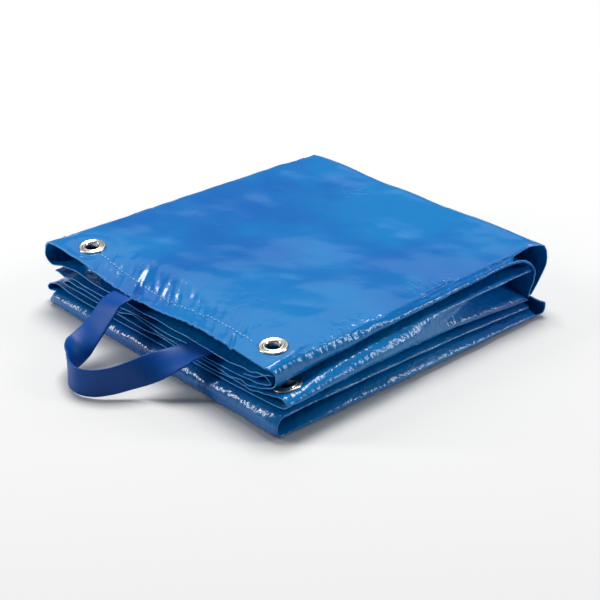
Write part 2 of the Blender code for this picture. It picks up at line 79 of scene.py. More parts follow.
# Each fold between two layers, as rows of (x, z) points in the direction of travel. at says how far back
# each row lies: 0 at the front, 1 at the back.
STATIONS = (0.0, 0.5, 1.0)
Fold = namedtuple("Fold", "name at rows")
FOLDS = {
    row.name: row
    for row in (
        Fold(
            "lip",
            STATIONS,
            (
                ((148.5, 52), (135, 47.8)),
                ((144, 59.6), (130, 58.6)),
                ((142, 61.6), (129, 61.2)),
            ),
        ),
        Fold(
            "left_loop",
            STATIONS,
            (
                ((-140, 43.8), (-154, 41), (-162, 47), (-159.5, 57), (-154, 62.5)),
                ((-140, 46.8), (-153, 43), (-160.5, 49), (-158, 57.5), (-153, 62)),
                ((-136, 52), (-151, 44), (-157, 50), (-155.5, 57), (-152, 60.5)),
            ),
        ),
        Fold(
            "right_wrap",
            STATIONS,
            (
                ((146, 60.6), (151.5, 54.5), (152, 46.5), (148, 40.4), (138, 35)),
                ((146, 63.2), (148.5, 60.5), (153.5, 57), (152, 53), (143, 51.2)),
                ((145.5, 64.6), (147, 62), (151.5, 60.3), (149.5, 57.2), (140, 55.2)),
            ),
        ),
        Fold(
            "notch",
            STATIONS,
            (
                ((-137, 30.4), (-143, 27.6), (-137, 24.8)),
                ((-140, 33), (-146, 29.6), (-140, 26.2)),
                ((-139, 36.3), (-146, 32.2), (-139, 28.2)),
            ),
        ),
        Fold(
            "right_curl",
            STATIONS,
            (
                ((128, 28.8), (160, 35), (166.8, 31), (161, 26.8), (140, 25.2)),
                ((128, 46.6), (157, 45.8), (161.5, 38), (158.5, 28), (140, 24.6)),
                ((128, 49), (157, 47.5), (108, 33), (157, 18.2), (140, 17.2)),
            ),
        ),
        Fold(
            "left_closure",
            STATIONS,
            (
                ((-136, 20.4), (-150, 21.6), (-159.5, 18.4), (-166.2, 13.8), (-165.2, 11), (-152, 12.6)),
                ((-134, 20), (-148, 20.6), (-156, 18), (-161, 13.8), (-160, 11), (-148, 12)),
                ((-134, 17.2), (-146, 17.4), (-153, 15), (-157.5, 11.8), (-156.5, 9.2), (-146, 9.8)),
            ),
        ),
        Fold(
            "spine",
            STATIONS,
            (
                ((157, 23), (162.6, 20.9), (157, 18.8)),
                ((155, 20.6), (161, 18.7), (155, 16.8)),
                ((153, 13.6), (159, 12), (153, 10.4)),
            ),
        ),
        Fold("tail", STATIONS, (((-150, 9.8),), ((-148, 9.2),), ((-146, 7.2),))),
    )
}
BOOK = (
    "lip", "second", "left_loop", "top", "right_wrap", "fourth", "notch", "fifth",
    "right_curl", "sixth", "left_closure", "seventh", "spine", "eighth", "tail",
)
LAYER_X = (-110.0, -55.0, 0.0, 55.0, 110.0)
TOP_X = (-148.0, -110.0, -55.0, 0.0, 55.0, 110.0, 142.5)

THIRD_LEFT = Fold(
    "third_left",
    STATIONS,
    (((-154, 33.4), (-140, 33.2)), ((-152, 36.6), (-138, 36.2)), ((-148, 41), (-136, 40.6))),
)
THIRD = Layer("third", 1, -159.0, 116.0, (33.8, 33.8), (36.6, 53.8), (40.6, 57.4))
THIRD_RIGHT = Fold(
    "third_right",
    STATIONS,
    (
        ((138, 38), (144.6, 41.8), (139, 44.8), (127, 42), (111, 37.4)),
        ((133, 52.3), (137.4, 53.9), (133, 55.5), (124, 55.4), (116, 55)),
        ((126, 56.9), (130, 58.2), (126, 59.4), (120, 59.3), (114, 59.1)),
    ),
)

PASS_OUTER = Layer("bottom_outer", 1, -161.0, 142.0, (0.6, 0.6), (0.6, 0.6), (0.6, 0.6))
PASS_SPINE = Fold(
    "bottom_spine",
    STATIONS,
    (
        ((156, 0.9), (161.6, 2.6), (156, 4.3)),
        ((158, 0.6), (166, 6), (159, 12.4)),
        ((157, 0.6), (164.4, 4.2), (157, 7.6)),
    ),
)
PASS_INNER = Layer("bottom_inner", -1, -160.0, 140.0, (3.8, 4.2), (5.0, 11.8), (4.2, 7.2))
PASS_START = Fold("bottom_start", STATIONS, (((-157, 0.6),), ((-157, 0.6),), ((-154, 0.6),)))
PASS_END = Fold("bottom_end", STATIONS, (((-151, 3.8),), ((-150, 5.0),), ((-148, 4.2),)))
WRAP_FULLNESS = 1.65

# Flaps that turn down over the back, as (y, z) points past the layer's own end. flare is
# how far a flap's right edge spreads.
FLAP_TOP = {
    "left": ((157, 62), (161, 44), (157, 36), (150, 28), (145, 21)),
    "right": ((158.5, 65.8), (163, 46), (158, 37), (150.5, 28), (144.5, 20.5)),
    "flare": 12.0,
}
FLAP_FOURTH = {
    "left": ((130, 36.6), (139, 36), (143.5, 33), (143, 28), (141.5, 23), (140.5, 19)),
    "right": ((130, 58), (142.5, 50.5), (148.5, 42), (147.5, 34), (143, 25), (141, 19)),
    "flare": 3.0,
}
FLAP_BOTTOM = {
    "left": ((146, 0.8), (151, 3), (153, 8), (152, 11), (149, 13.5), (146, 15)),
    "right": ((146, 0.8), (152, 2.6), (154.6, 8), (154.5, 11.5), (150, 15.5), (146.5, 18)),
    "flare": 0.0,
}
WRAP_SHARE = (0.05, 0.75, 0.97, 1.0, 1.0)  # how far back the right wrap's points lie, between its layers

# Sheet cells: across each layer's stretch between two of its points, along a fold, and front to back
CELLS = {"top": 30, "seventh": 10, "bottom_outer": 10}
HIDDEN_CELLS = 3
FOLD_CELLS = 3
FRONT_ROWS = 27  # close rows behind the front edge
FRONT_DEPTH = 0.13  # the share of the depth that they cover
BACK_ROWS = 50
PASS_ROWS = 30
WRAP_CELLS = 16
FLAP_CELLS = 3
REACH = 1.2  # a curve's slope carries over at most this many lengths of the stretch beside it
FIRST_ROW = 0.0015  # a row this share of the depth behind the front edge holds the edge's shape
FLARE_START = 110.0  # where along x a flap begins to spread
FLARE_LENGTH = 40.0
BACK_FULLNESS = 1.2  # how far the fold that joins the third layer at the back swells out
BACK_CELLS = 8

# Eyelets: radius and height of the turned profile, and where they stand
EYELET_PROFILE = (
    (6.0, 0.2), (6.15, 1.3), (6.7, 2.3), (7.5, 2.75), (8.4, 2.65), (9.0, 2.25), (9.5, 2.05), (10.0, 2.2),
    (10.7, 2.45), (11.5, 2.35), (12.2, 1.85), (12.5, 1.25), (12.3, 0.85), (11.6, 0.7), (7.2, 0.7),
    (6.8, 0.2), (6.8, -1.0), (10.6, -1.2), (10.6, -2.0), (6.4, -2.2), (6.0, -1.6),
)
EYELET_TURNS = 72
ROUNDING = 0.25  # the slope at a corner of the profile, as a share of the chord past it
EYELET_CUT = 7.5  # cloth nearer than this to an eyelet's middle is cut away
EYELET_FLAT = (14.0, 26.0)  # the cloth is flat within the first radius and free past the second
HEM_BOTTOM = 57.0  # the top eyelets cut only cloth above this height
LOWER_SPREAD = 3.5  # and the lower one only cloth this close to its own height
TOP_EYELETS = {"eyelet_left": (-117.0, -142.0), "eyelet_right": (127.5, -141.0)}
LOWER_EYELET = (146.0, -142.0)
LOWER_PLANE = {"z": 34.3, "slope_x": 0.165, "slope_y": 0.13}

# The carry strap
STRAP_WIDTH = 25.0
STRAP_THICK = 1.8
EDGE_POINTS = 7  # round each edge of its section
FLAT_POINTS = 8  # and across each flat side
Route = namedtuple("Route", "x y z lean")
STRAP_ROUTE = (
    Route(-39, -118, 55.4, 0),
    Route(-39, -142, 55.0, 0),
    Route(-40, -163, 53.6, 0),
    Route(-42, -176, 49.5, 0),
    Route(-42, -186, 41.0, 1),
    Route(-41.5, -196, 32.5, 5),
    Route(-40.5, -208, 25.0, 19),
    Route(-37.5, -220, 19.5, 54),
    Route(-31, -231, 16.0, 84),
    Route(-20, -239, 14.2, 92),
    Route(-5, -242, 13.6, 92),
    Route(9, -236, 14.2, 92),
    Route(20, -225, 16.8, 92),
    Route(29, -211, 20.8, 98),
    Route(37, -198, 25.4, 118),
    Route(45, -185, 30.4, 146),
    Route(53, -172, 36.0, 166),
    Route(60, -160, 40.2, 180),
    Route(61, -140, 41.2, 180),
    Route(62, -120, 43.4, 180),
)
STRAP_CELLS = 8

# Colours
LAMINATE = (0.0002, 0.098, 0.36)
LAMINATE_PALE = (0.0003, 0.148, 0.41)
# The cut edges: the laminate's blue, painted paler and brighter as a highlight on the lit edges
CUT_EDGE_HIGHLIGHT = (0.01, 0.22, 0.62)
THREAD = (0.45, 0.68, 0.85)
WEBBING = (0.0001, 0.055, 0.27)
NICKEL = (0.64, 0.61, 0.55)
FLOOR_COLOUR = (0.6, 0.6, 0.6)

# Fine relief of the finishes
CRINKLE = 0.5  # how deep the laminate's crinkles are
GRAIN = 0.1  # the grain on them, as a share of that
CALM = 0.35  # the share of the crinkles that the top has
RIBS = 1.12  # how deep the ribs across the side folds are
WEAVE = 0.3  # how deep the webbing's grain is
CRINKLE_STRETCH = (1.0, 1.0, 1.6)  # how much closer together than usual they lie along x, y and z
RIB_STRETCH = (1.0, 1.0, 0.22)
# Roughness of a finish: the least, and what its pattern adds
LAMINATE_ROUGHNESS = (0.12, 0.12)
WEBBING_ROUGHNESS = (0.34, 0.16)
NICKEL_ROUGHNESS = (0.22, 0.12)
# Patterns: how many patches there are to a metre, how much finer detail they hold, and how far they are
# bent out of line
Pattern = namedtuple("Pattern", "scale detail distortion")
PATTERNS = {
    "pale patches": Pattern(9.0, 3.0, 0.0),
    "rubbing": Pattern(45.0, 4.0, 0.0),
    "crinkles": Pattern(50.0, 3.0, 0.6),
    "grain": Pattern(260.0, 2.0, 0.0),
    "ribs": Pattern(190.0, 1.5, 0.3),
    "wear": Pattern(60.0, 3.0, 0.0),
    "weave": Pattern(700.0, 1.0, 0.0),
    "polish": Pattern(180.0, 3.0, 0.0),
}
# Sockets that share a name with others, by their number
OBJECT_COORDINATES = 3
ATTRIBUTE_FACTOR = 2
MIXED_COLOUR = 2
FIRST_COLOUR = 6
SECOND_COLOUR = 7

# Uneven cloth. Each set of waves has its height, its usual wavelengths in x, y and, off the top, z, its
# seed, how soft its ridges are (None for smooth waves), and the level that it lies at.
Wave = namedtuple("Wave", "height lengths seed softness level")
WAVES = {
    "broad": Wave(1.3, (170.0, 130.0), 11, None, 0.0),
    "slight": Wave(0.3, (75.0, 60.0), 12, None, 0.0),
    "pressed": Wave(0.35, (90.0, 40.0), 13, 0.35, 0.0),
    "puckers": Wave(2.2, (17.0, 26.0), 14, 0.3, -0.8),
    "slow": Wave(0.35, (70.0, 70.0, 30.0), 21, None, 0.0),
    "edges": Wave(1.5, (50.0, 60.0, 16.0), 22, None, 0.0),
    "front": Wave(0.42, (11.0, 40.0, 22.0), 23, 0.2, -0.2),
    "right": Wave(0.42, (30.0, 13.0, 16.0), 24, 0.2, -0.2),
    "dents": Wave(0.5, (26.0, 30.0, 20.0), 25, 0.3, -0.2),
}
WAVES_PER_SET = 26
# Each region changes between two places, in y for the front, edges and back and in x for the left and
# right. The front, edges and left are in full at the first place, the back and right at the second.
REGIONS = {
    "front": (-166.0, -150.0),
    "edges": (-160.0, -135.0),
    "back": (130.0, 146.0),
    "left": (-152.0, -136.0),
    "right": (128.0, 150.0),
}
BACK_DENTS = 0.8  # the share of the dents that the back has
WRAP_TOP = 24.0  # the front wrinkles lie below this height
EDGES_BOTTOM = 26.0  # and the waves of the front edges above this one
PRESSED_SKEW = (0.55, -0.35)  # how the pressed folds of the top slant
FRONT_SKEW = 0.3
# Puckers: how they slant and stretch, how far they run behind and before the seam, and along which part
PUCKERS = {"slant": 0.8, "stretch": 0.25, "behind": 17.0, "before": 40.0}
PUCKERS_LEFT = (-108.0, -86.0)
PUCKERS_RIGHT = (100.0, 118.0)
FACING = (0.6, 0.9)  # how far up a normal points where the sheet counts as lying flat
TOP_SLACK = 1.5  # how far below its smooth height the top layer may lie
LOWER_FLAT = (12.0, 17.0)  # the cloth round the lower eyelet is flat, then free
LOWER_REACH = 4.5
WRINKLED = (-4.0, -1.5)  # depth below the top where fine wrinkles are in full, and where they end

# The stitch line of the hem: its y at a few places along the hem, and the stitches
SEAM = (
    (-101.0, -144.0), (-59.0, -147.2), (-15.0, -149.6), (21.0, -149.8), (71.0, -146.8), (112.0, -147.8),
)
SEAM_MARGIN = 0.5  # the doubled hem ends this far before the stitches
HEM_LOW = 55.0  # and lies above this height
# lift and dip are shares of thick: how high a stitch lies and how far its ends go down. blunt keeps its
# ends a little open.
STITCH = {"length": 3.3, "pitch": 4.6, "thick": 0.55, "lift": 0.1, "dip": 0.25, "blunt": 1.02}

# The studio, in metres: the wide back light gives the top its pale sheen, the two narrow ones the glints
# of the sides, and the one above most of the light
FLOOR_REACH = 6.0
WORLD_COLOUR = (0.86, 0.95, 1.0)
WORLD_STRENGTH = 0.16
Light = namedtuple("Light", "name place target size power colour")
LIGHTS = (
    Light("back", (-1.95, 1.7, 2.3), (0, 0, 0.05), (3.0, 1.4), 9, (0.78, 0.94, 1.0)),
    Light("left", (-1.5, -1.5, 0.95), (0, 0, 0.05), (0.3, 1.5), 24, (1.0, 1.0, 1.0)),
    Light("right", (1.5, 1.5, 0.95), (0, 0, 0.05), (0.3, 1.5), 18, (1.0, 1.0, 1.0)),
    Light("over", (-0.8, 0.7, 3.1), (0, 0, 0), (1.6, 1.6), 138, (1.0, 0.985, 0.97)),
)
CAMERA = {
    "lens": 96.0,
    "sensor": 36.0,
    "place": (0.96847, -0.87494, 0.68014),
    "target": (0.0353, -0.0288, 0.030),
}


# ---------------------------------------------------------------- curves


def smoothstep(low, high, value):
    """0 below low, 1 above high, and an S-curve between them."""
    t = np.clip((value - low) / (high - low), 0.0, 1.0)
    return t * t * (3.0 - 2.0 * t)


def hermite(start, end, start_slope, end_slope, t):
    """The cubic that leaves start and reaches end with the two slopes."""
    t2 = t * t
    t3 = t2 * t
    return (
        (2 * t3 - 3 * t2 + 1) * start
        + (t3 - 2 * t2 + t) * start_slope
        + (3 * t2 - 2 * t3) * end
        + (t3 - t2) * end_slope
    )


def along(at, values, v):
    """A monotone cubic through values at the stations at: it never swings past them."""
    at = np.asarray(at, dtype=float)
    values = np.asarray(values, dtype=float)
    gaps = np.diff(at)
    rates = np.diff(values) / gaps
    same = rates[:-1] * rates[1:] > 0
    mean = np.where(same, 2 * rates[:-1] * rates[1:] / np.where(same, rates[:-1] + rates[1:], 1), 0)
    slopes = np.concatenate(([1.5 * rates[0] - 0.5 * mean[0]], mean, [1.5 * rates[-1] - 0.5 * mean[-1]]))
    i = np.clip(np.searchsorted(at, v, side="right") - 1, 0, len(gaps) - 1)
    t = np.clip((v - at[i]) / gaps[i], 0.0, 1.0)
    return hermite(values[i], values[i + 1], slopes[i] * gaps[i], slopes[i + 1] * gaps[i], t)


def smooth_path(points, steps):
    """Smooth curves through points, shape (points, rows, n), with steps cells in each stretch: cubics
    whose slope at a point is the mean of its two chords, each weighted by the other's length."""
    chords = np.diff(points, axis=0)
    lengths = np.linalg.norm(chords, axis=2, keepdims=True)
    rates = chords / lengths
    slopes = np.empty_like(points)
    weights = lengths[:-1] + lengths[1:]
    slopes[1:-1] = (rates[:-1] * lengths[1:] + rates[1:] * lengths[:-1]) / weights
    slopes[0] = 1.5 * rates[0] - 0.5 * slopes[1]
    slopes[-1] = 1.5 * rates[-1] - 0.5 * slopes[-2]
    out = [points[:1]]
    for i, count in enumerate(steps):
        before = np.minimum(lengths[i], REACH * lengths[max(i - 1, 0)])
        after = np.minimum(lengths[i], REACH * lengths[min(i + 1, len(lengths) - 1)])
        t = (np.arange(1, count + 1) / count)[:, None, None]
        out.append(hermite(points[i], points[i + 1], slopes[i] * before, slopes[i + 1] * after, t))
    return np.concatenate(out)


# ---------------------------------------------------------------- uneven cloth


def ripples(places, lengths, seed):
    """A smooth random height of about -1 to 1: the sum of cosine waves over places, shape (..., n),
    divided by the root of their number. A length is the usual wavelength in that direction, in mm."""
    chance = np.random.default_rng(seed)
    directions = chance.normal(size=(WAVES_PER_SET, len(lengths))) / np.asarray(lengths)
    phases = chance.uniform(0.0, 2 * np.pi, WAVES_PER_SET)
    total = np.zeros(places.shape[:-1])
    for wave, phase in zip(directions, phases):
        total += np.cos(2 * np.pi * (places @ wave) + phase)
    return total / np.sqrt(WAVES_PER_SET)


def creases(height, softness):
    """Turns a smooth height into sharp ridges where it passes zero: 1 - sqrt(h^2 + softness^2)."""
    return 1.0 - np.sqrt(height * height + softness * softness)


def waves(name, places):
    """The height of one set of waves of the table."""
    wave = WAVES[name]
    height = ripples(places, wave.lengths, wave.seed)
    if wave.softness is not None:
        height = creases(height, wave.softness)
    return wave.height * height + wave.level


def seam_y(x):
    """Where the stitch line lies."""
    places = np.array(SEAM)
    return np.interp(x, places[:, 0], places[:, 1])


def free_top_height(x, y):
    """The top layer: a skew plane between its corners, less the droop of the front hem."""
    across = (x + HALF_X) / (2 * HALF_X)
    depth = (y + HALF_Y) / (2 * HALF_Y)
    front = TOP["front_left"] + (TOP["front_right"] - TOP["front_left"]) * across
    back = TOP["back_left"] + (TOP["back_right"] - TOP["back_left"]) * across
    middle = np.exp(-(((x - HEM_DROOP["middle_x"]) / HEM_DROOP["spread"]) ** 2))
    droop = HEM_DROOP["ends"] + HEM_DROOP["middle"] * middle
    near_hem = 1.0 - smoothstep(-HALF_Y, -HALF_Y + DROOP_DEPTH, y)
    return front + (back - front) * depth - droop * near_hem


def top_relief(x, y):
    """How far the top layer stands above its smooth height: broad, slight and pressed waves, plus puckers
    that fade away from the stitch line and towards its ends, less the shoulder along the right crease."""
    places = np.stack([x, y], axis=-1)
    skew_x, skew_y = PRESSED_SKEW
    skewed = np.stack([x + skew_x * y, y + skew_y * x], axis=-1)
    shoulder = SHOULDER["drop"] * smoothstep(SHOULDER["inner"], SHOULDER["outer"], x)
    shoulder *= 1.0 - smoothstep(*SHOULDER["fade"], y)
    behind = y - seam_y(x)
    fade = np.exp(-np.clip(behind, 0, None) / PUCKERS["behind"])
    fade *= np.exp(np.clip(behind, None, 0) / PUCKERS["before"])
    length = smoothstep(*PUCKERS_LEFT, x) * (1 - smoothstep(*PUCKERS_RIGHT, x))
    slanted = np.stack([x + PUCKERS["slant"] * behind, PUCKERS["stretch"] * y], axis=-1)
    soft = waves("broad", places) + waves("slight", places) + waves("pressed", skewed)
    return soft + waves("puckers", slanted) * fade * length - shoulder


def eyelet_plane(centre):
    """Height and slopes of the plane that the cloth lies in round an eyelet of the top layer."""
    x, y = centre
    reach = 8.0
    height = float(free_top_height(x, y))
    slope_x = float(free_top_height(x + reach, y) - free_top_height(x - reach, y)) / (2 * reach)
    slope_y = float(free_top_height(x, y + reach) - free_top_height(x, y - reach)) / (2 * reach)
    return height, slope_x, slope_y


def top_height(x, y):
    """The top layer's height with its relief, pressed flat round its eyelets."""
    z = free_top_height(x, y) + top_relief(x, y)
    for centre in TOP_EYELETS.values():
        height, slope_x, slope_y = eyelet_plane(centre)
        plane = height + slope_x * (x - centre[0]) + slope_y * (y - centre[1])
        flat = 1.0 - smoothstep(*EYELET_FLAT, np.hypot(x - centre[0], y - centre[1]))
        z = z + (plane - z) * flat
    return z


# ---------------------------------------------------------------- the folded section


def fold_points(fold, front, back, v):
    """A fold's points for every row v: shape (points, rows, 3)."""
    table = np.array(fold.rows, dtype=float)
    count = table.shape[1]
    points = np.empty((count, len(v), 3))
    for i in range(count):
        share = WRAP_SHARE[i] if fold.name == "right_wrap" else (i + 1) / (count + 1)
        first = front[0] + (front[1] - front[0]) * share
        last = back[0] + (back[1] - back[0]) * share
        points[i, :, 0] = along(fold.at, table[:, i, 0], v)
        points[i, :, 1] = first + (last - first) * v
        points[i, :, 2] = along(fold.at, table[:, i, 1], v)
    return points


def layer_points(layer, v):
    """A layer's points for every row v: straight from its left height to its right one."""
    places = TOP_X if layer.name == "top" else LAYER_X
    points = np.empty((len(places), len(v), 3))
    for i, x in enumerate(places[:: layer.way]):
        y = layer.front + (layer.back - layer.front) * v
        if layer.name == "top":
            z = free_top_height(x, y)
        else:
            across = (x + HALF_X) / (2 * HALF_X)
            heights = (layer.z_front, layer.z_middle, layer.z_back)
            ends = [left + (right - left) * across for left, right in heights]
            z = along(STATIONS, ends, v)
        points[i, :, 0] = x
        points[i, :, 1] = y
        points[i, :, 2] = z
    return points


def section(pieces, v):
    """Carry folds and layers in turn along Y. Returns the sheet's grid, shape (columns, rows, 3), and
    the column at which each piece starts and ends."""
    blocks = []
    for i, piece in enumerate(pieces):
        if isinstance(piece, Layer):
            blocks.append(layer_points(piece, v))
            continue
        before = pieces[i - 1] if i > 0 else pieces[i + 1]
        after = pieces[i + 1] if i + 1 < len(pieces) else pieces[i - 1]
        blocks.append(fold_points(piece, (before.front, after.front), (before.back, after.back), v))
    steps = []
    spans = {}
    column = 0
    for i, (piece, block) in enumerate(zip(pieces, blocks)):
        cells = FOLD_CELLS if isinstance(piece, Fold) else CELLS.get(piece.name, HIDDEN_CELLS)
        inside = [cells] * (len(block) - 1)
        if piece.name == "right_curl":
            inside[0] = 3 * FOLD_CELLS
        spans[piece.name] = (column, column + sum(inside))
        steps += inside
        column += sum(inside)
        if i + 1 < len(pieces):
            steps.append(2 * FOLD_CELLS)
            column += 2 * FOLD_CELLS
    return smooth_path(np.concatenate(blocks), steps), spans


def flap(edge, columns, route):
    """Rows that carry an edge down over the back: the left and right (y, z) routes are mixed by x, and
    columns near the right end spread outwards."""
    start = edge[:, -1]
    before = edge[:, -2]
    across = np.clip((start[:, 0] + HALF_X) / (2 * HALF_X), 0.0, 1.0)
    spread = route["flare"] * np.clip((start[:, 0] - FLARE_START) / FLARE_LENGTH, 0.0, 1.0) ** 2
    lows, highs = route["left"][0][1], route["right"][0][1]
    rise = np.maximum(start[:, 2] - (lows + (highs - lows) * across), 0.0)
    points = [before, start]
    for i, ((left_y, left_z), (right_y, right_z)) in enumerate(zip(route["left"], route["right"])):
        step = start.copy()
        step[:, 0] += spread
        step[:, 1] = left_y + (right_y - left_y) * across
        step[:, 2] = left_z + (right_z - left_z) * across + rise * (1.0 - i / len(route["left"]))
        points.append(step)
    steps = [1] + [FLAP_CELLS] * (len(points) - 2)
    rows = smooth_path(np.array(points), steps)[1:]
    return np.swapaxes(rows, 0, 1)[columns]


def join_edges(first, second, side, fullness, rows):
    """Rows that join two edges of equal length round a fold on the given side (-1 front, 1 back)."""
    swell = fullness * np.abs(first[:, 2:] - second[:, 2:]) * np.array([[0.0, side, 0.0]])
    t = np.linspace(0.0, 1.0, rows + 1)[None, :, None]
    return hermite(first[:, None], second[:, None], swell[:, None], -swell[:, None], t)


def sheet_grids():
    """Every grid of the tarp's one sheet, none below the ground. Grids that meet share their edge's
    points."""
    near = np.linspace(0.0, FRONT_DEPTH, FRONT_ROWS)
    far = np.linspace(FRONT_DEPTH, 1.0, BACK_ROWS)[1:]
    v = np.concatenate(([0.0, FIRST_ROW], near[1:], far))
    book = [LAYERS.get(name) or FOLDS.get(name) for name in BOOK]
    main, spans = section(book, v)
    grids = [main]
    third, third_spans = section([THIRD_LEFT, THIRD, THIRD_RIGHT], v)
    grids.append(third)
    second = slice(spans["second"][0], spans["second"][1] + 1)
    under = slice(third_spans["third"][0], third_spans["third"][1] + 1)
    grids.append(join_edges(main[second, -1], third[under, -1][::-1], 1, BACK_FULLNESS, BACK_CELLS))
    low = spans["left_closure"][1]
    outer = main[low:]
    book = [PASS_START, PASS_OUTER, PASS_SPINE, PASS_INNER, PASS_END]
    bottom, bottom_spans = section(book, np.linspace(0.0, 1.0, PASS_ROWS))
    grids.append(bottom)
    grids.append(join_edges(outer[:, 0], bottom[:, 0], -1, WRAP_FULLNESS, WRAP_CELLS))
    top = slice(spans["top"][0], spans["right_wrap"][0] + 1)
    grids.append(flap(main, top, FLAP_TOP))
    fourth = slice(spans["right_wrap"][0] + 2 * FOLD_CELLS, spans["fourth"][1] + 1)
    grids.append(flap(main, fourth, FLAP_FOURTH))
    flat = slice(0, bottom_spans["bottom_spine"][0] + FOLD_CELLS + 1)
    grids.append(flap(bottom, flat, FLAP_BOTTOM))
    for grid in grids:
        grid[..., 2] = np.maximum(grid[..., 2], GROUND)
    return grids


# ---------------------------------------------------------------- meshes


def grid_faces(columns, rows, first):
    """The quads of a grid of points numbered column by column from first."""
    numbers = first + np.arange(columns * rows).reshape(columns, rows)
    corners = (numbers[:-1, :-1], numbers[1:, :-1], numbers[1:, 1:], numbers[:-1, 1:])
    return np.stack([c.ravel() for c in corners], axis=1)


def weld(grids):
    """One list of points and one of quads from grids in mm, with the points of shared edges merged."""
    points = np.concatenate([grid.reshape(-1, 3) for grid in grids])
    firsts = np.cumsum([0] + [grid.shape[0] * grid.shape[1] for grid in grids[:-1]])
    faces = np.concatenate([grid_faces(*grid.shape[:2], first) for grid, first in zip(grids, firsts)])
    _, kept, renumber = np.unique(np.round(points, 4), axis=0, return_index=True, return_inverse=True)
    return points[kept], renumber.ravel()[faces]


def new_mesh(name, points, faces):
    """A smooth mesh from points in mm and a list of faces, which are turned the same way."""
    mesh = bpy.data.meshes.new(name)
    mesh.from_pydata(points * MM, [], faces)
    shell = bmesh.new()
    shell.from_mesh(mesh)
    bmesh.ops.recalc_face_normals(shell, faces=shell.faces)
    shell.to_mesh(mesh)
    shell.free()
    mesh.shade_smooth()
    return mesh


def new_piece(name, mesh, material, slot, *nodes):
    """A shown piece of the object that rides on the body and stands for CAD nodes."""
    piece = bpy.data.objects.new(name, mesh)
    bpy.context.scene.collection.objects.link(piece)
    piece.data.materials.append(material)
    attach(piece, "root")
    if nodes:
        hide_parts(*nodes)
    return piece


def mesh_points(mesh):
    """The mesh's points in mm, shape (points, 3)."""
    points = np.empty(len(mesh.vertices) * 3)
    mesh.vertices.foreach_get("co", points)
    return points.reshape(-1, 3) / MM


def mesh_normals(mesh):
    """The mesh's normals at its points, shape (points, 3)."""
    normals = np.empty(len(mesh.vertices) * 3)
    mesh.vertex_normals.foreach_get("vector", normals)
    return normals.reshape(-1, 3)


def uneven(points, normals):
    """Moves the sheet's points off their smooth folds, along their normals, by what each region shows:
    waves in the front edges, short wrinkles across the front wrap and across the folds of the right side,
    and slow dents everywhere."""
    x, y, z = points.T
    out = points.copy()
    top = smoothstep(*FACING, np.abs(normals[:, 2])) * (z > free_top_height(x, y) - TOP_SLACK)
    front = 1 - smoothstep(*REGIONS["front"], y)
    right = smoothstep(*REGIONS["right"], x)
    left = 1 - smoothstep(*REGIONS["left"], x)
    back = smoothstep(*REGIONS["back"], y)
    calm = 1 - top
    edge = waves("edges", points) * (1 - smoothstep(*REGIONS["edges"], y))
    wrap = front * (z < WRAP_TOP)
    push = waves("slow", points) + wrap * waves("front", points + FRONT_SKEW * points[:, [2, 0, 1]])
    push += right * waves("right", points) + (left + back * BACK_DENTS) * waves("dents", points)
    push *= calm
    out += normals * push[:, None]
    out[:, 2] += edge * calm * (z > EDGES_BOTTOM) * (1 - right) * (1 - left)
    out[:, 2] += (top_height(x, y) - free_top_height(x, y)) * top
    lower = LOWER_PLANE["z"] + LOWER_PLANE["slope_x"] * (x - LOWER_EYELET[0])
    lower += LOWER_PLANE["slope_y"] * (y - LOWER_EYELET[1])
    reach = 1.0 - smoothstep(*LOWER_FLAT, np.hypot(x - LOWER_EYELET[0], y - LOWER_EYELET[1]))
    reach *= np.abs(z - lower) < LOWER_REACH
    out[:, 2] += (lower - out[:, 2]) * reach
    out[:, 2] = np.maximum(out[:, 2], GROUND)
    return out


def near_eyelets(points):
    """Which points lie within EYELET_CUT of an eyelet's middle and close to its height."""
    x, y, z = points.T
    near = np.zeros(len(points), dtype=bool)
    for centre in TOP_EYELETS.values():
        near |= (np.hypot(x - centre[0], y - centre[1]) < EYELET_CUT) & (z > HEM_BOTTOM)
    beside = np.hypot(x - LOWER_EYELET[0], y - LOWER_EYELET[1]) < EYELET_CUT
    near |= beside & (np.abs(z - LOWER_PLANE["z"]) < LOWER_SPREAD)
    return near


def make_tarp(material, edge_highlight_material):
    """The sheet's welded grids, made uneven, with a hole for each eyelet and then thickened: the hem is as
    thick as HEM and the rest as CLOTH."""
    points, faces = weld(sheet_grids())
    mesh = new_mesh("tarp_smooth", points, faces.tolist())
    moved = uneven(mesh_points(mesh), mesh_normals(mesh))
    mesh.vertices.foreach_set("co", (moved * MM).ravel())
    shell = bmesh.new()
    shell.from_mesh(mesh)
    shell.verts.ensure_lookup_table()
    gone = [shell.verts[i] for i in np.flatnonzero(near_eyelets(moved))]
    bmesh.ops.delete(shell, geom=gone, context="VERTS")
    shell.to_mesh(mesh)
    shell.free()
    mesh.shade_smooth()
    piece = new_piece("tarp_cloth", mesh, material, "tarp", "tarp", "hem_strip", "lower_hem_strip")
    points = mesh_points(mesh)
    top = smoothstep(*WRINKLED, points[:, 2] - free_top_height(points[:, 0], points[:, 1]))
    wrinkled = mesh.attributes.new("wrinkled", "FLOAT", "POINT")
    wrinkled.data.foreach_set("value", 1.0 - top)
    hem = (points[:, 1] < seam_y(points[:, 0]) - SEAM_MARGIN) & (points[:, 2] > HEM_LOW)
    group = piece.vertex_groups.new(name="hem")
    group.add(np.flatnonzero(hem).tolist(), 1.0, "REPLACE")
    thick = piece.modifiers.new("thickness", "SOLIDIFY")
    thick.thickness = HEM * MM
    thick.offset = 0.0
    thick.use_quality_normals = True
    thick.vertex_group = "hem"
    # the rim of the cut edges takes the painted highlight colour
    piece.data.materials.append(edge_highlight_material)
    thick.material_offset_rim = 1
    thick.thickness_vertex_group = CLOTH / HEM
    return piece


